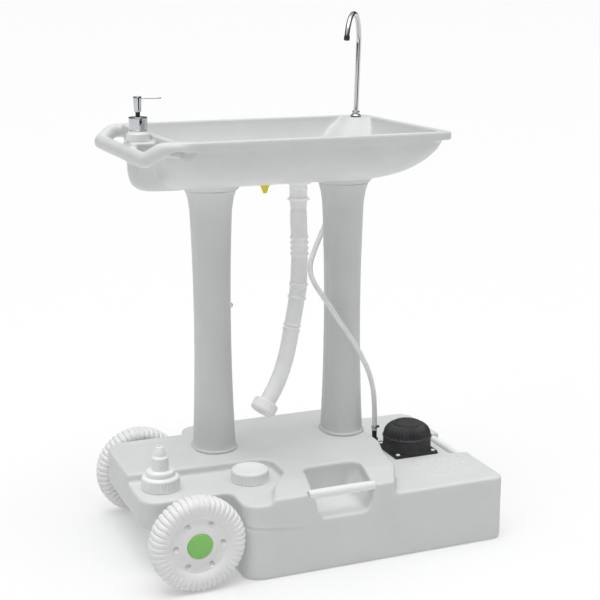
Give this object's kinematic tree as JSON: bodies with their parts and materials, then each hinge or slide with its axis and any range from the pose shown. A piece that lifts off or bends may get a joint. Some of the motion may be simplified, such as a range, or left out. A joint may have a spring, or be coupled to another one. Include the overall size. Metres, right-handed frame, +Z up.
{
  "type": "portable handwash sink",
  "caption": "Portable handwash sink: a wheeled water tank, two columns, a moulded basin with lifting loop, foot pump, gooseneck spout, soap pump and hanging drain hose.",
  "frame": {"origin": "centre of the tank's underside, on the floor", "axes": "+X from the wheels to the foot pump, +Y to the back, +Z up"},
  "size_m": [0.72, 0.45, 1.021],
  "materials": {
    "body_plastic": "blow-moulded polyethylene, satin, light grey",
    "white_plastic": "moulded, satin white",
    "wheel_plastic": "blow-moulded, satin, pale grey",
    "green_plastic": "moulded, satin green",
    "yellow_plastic": "moulded, glossy yellow",
    "black_plastic": "moulded, satin black",
    "black_rubber": "matt",
    "pump_rubber": "ribbed and textured, matt",
    "chrome": "polished plating",
    "steel": "zinc plated",
    "clear_plastic": "natural, translucent",
    "supply_hose_plastic": "soft clear hose",
    "drain_plastic": "translucent white, satin"
  },
  "bodies": {
    "root": {"tank": "body_plastic", "column_left": "body_plastic", "column_right": "body_plastic", "basin": "body_plastic", "front_handle_bar": "white_plastic", "end_handle_bar": "white_plastic", "axle": "steel", "axle_spacers": "black_plastic", "axle_push_nuts": "steel", "pump_base_plate": "black_plastic", "pump_gasket": "black_rubber", "pump_screws": "white_plastic", "pump_bulb": "pump_rubber", "pump_spring": "steel", "pump_inlet_valve": "black_rubber", "pump_outlet_valve": "black_rubber", "pump_outlet_elbow": "black_plastic", "suction_tube": "clear_plastic", "suction_strainer": "white_plastic", "supply_hose": "supply_hose_plastic", "hose_clip_lower": "steel", "hose_clip_upper": "steel", "faucet_base": "chrome", "faucet_washer": "black_rubber", "faucet_nut": "white_plastic", "faucet_tail": "chrome", "soap_bottle": "white_plastic", "soap_collar": "chrome", "soap_spring": "steel", "soap_barrel": "clear_plastic", "soap_dip_tube": "clear_plastic", "drain_strainer": "chrome", "drain_washer": "black_rubber", "drain_nut": "drain_plastic", "drain_tailpiece": "drain_plastic", "drain_hose": "drain_plastic", "drain_end_nut": "drain_plastic", "drain_end_insert": "drain_plastic"},
    "wheel_front": {"wheel_front": "wheel_plastic", "hub_cap_front": "green_plastic"},
    "wheel_rear": {"wheel_rear": "wheel_plastic", "hub_cap_rear": "green_plastic"},
    "spout": {"faucet_spout": "chrome", "faucet_outlet_ring": "black_plastic"},
    "pump_tread": {"pump_tread_cap": "pump_rubber"},
    "soap_plunger": {"soap_plunger": "chrome"},
    "soap_head": {"soap_head": "chrome"},
    "filler_lift": {"filler_seal": "black_rubber"},
    "filler_cap": {"filler_cap": "white_plastic"},
    "outlet_lift": {"outlet_seal": "black_rubber"},
    "outlet_cap": {"outlet_ring": "white_plastic", "outlet_nozzle": "white_plastic", "outlet_lock_disc": "white_plastic"},
    "drain_bung": {"drain_bung": "yellow_plastic"}
  },
  "joints": [
    {"name": "wheel_front_spin", "type": "hinge", "parent": "root", "child": "wheel_front", "pos_m": [-0.275, -0.2, 0.09], "axis": [0, 1, 0], "continuous": true},
    {"name": "wheel_rear_spin", "type": "hinge", "parent": "root", "child": "wheel_rear", "pos_m": [-0.275, 0.2, 0.09], "axis": [0, 1, 0], "continuous": true},
    {"name": "spout_swivel", "type": "hinge", "parent": "root", "child": "spout", "pos_m": [0.195, 0.159, 0.808], "axis": [0.0349, 0, 0.9994], "continuous": true},
    {"name": "foot_pump_press", "type": "slide", "parent": "root", "child": "pump_tread", "axis": [0, 0, -1], "range_m": [0, 0.024], "stiffness_N_per_m": 3000, "deforming": ["pump_bulb", "pump_spring"]},
    {"name": "soap_press", "type": "slide", "parent": "root", "child": "soap_plunger", "axis": [0, 0, -1], "range_m": [0, 0.008], "stiffness_N_per_m": 300, "deforming": ["soap_spring"]},
    {"name": "soap_head_swivel", "type": "hinge", "parent": "soap_plunger", "child": "soap_head", "pos_m": [-0.32, -0.042, 0.86], "axis": [0, 0, 1], "continuous": true},
    {"name": "filler_cap_rise", "type": "slide", "parent": "root", "child": "filler_lift", "axis": [0, 0, 1], "range_m": [0, 0.0181]},
    {"name": "filler_cap_turn", "type": "hinge", "parent": "filler_lift", "child": "filler_cap", "pos_m": [-0.132, -0.086, 0.16], "axis": [0, 0, 1], "range_deg": [0, 1080]},
    {"name": "outlet_cap_rise", "type": "slide", "parent": "root", "child": "outlet_lift", "axis": [0, 0, 1], "range_m": [0, 0.0181]},
    {"name": "outlet_cap_turn", "type": "hinge", "parent": "outlet_lift", "child": "outlet_cap", "pos_m": [-0.302, -0.062, 0.16], "axis": [0, 0, 1], "range_deg": [0, 1080]},
    {"name": "drain_bung_pull", "type": "slide", "parent": "root", "child": "drain_bung", "axis": [0, 0, -1], "range_m": [0, 0.03]}
  ],
  "couplings": [
    {"joint": "filler_cap_rise", "follows": "filler_cap_turn", "m_per_rad": 0.00095493},
    {"joint": "outlet_cap_rise", "follows": "outlet_cap_turn", "m_per_rad": 0.00095493}
  ]
}
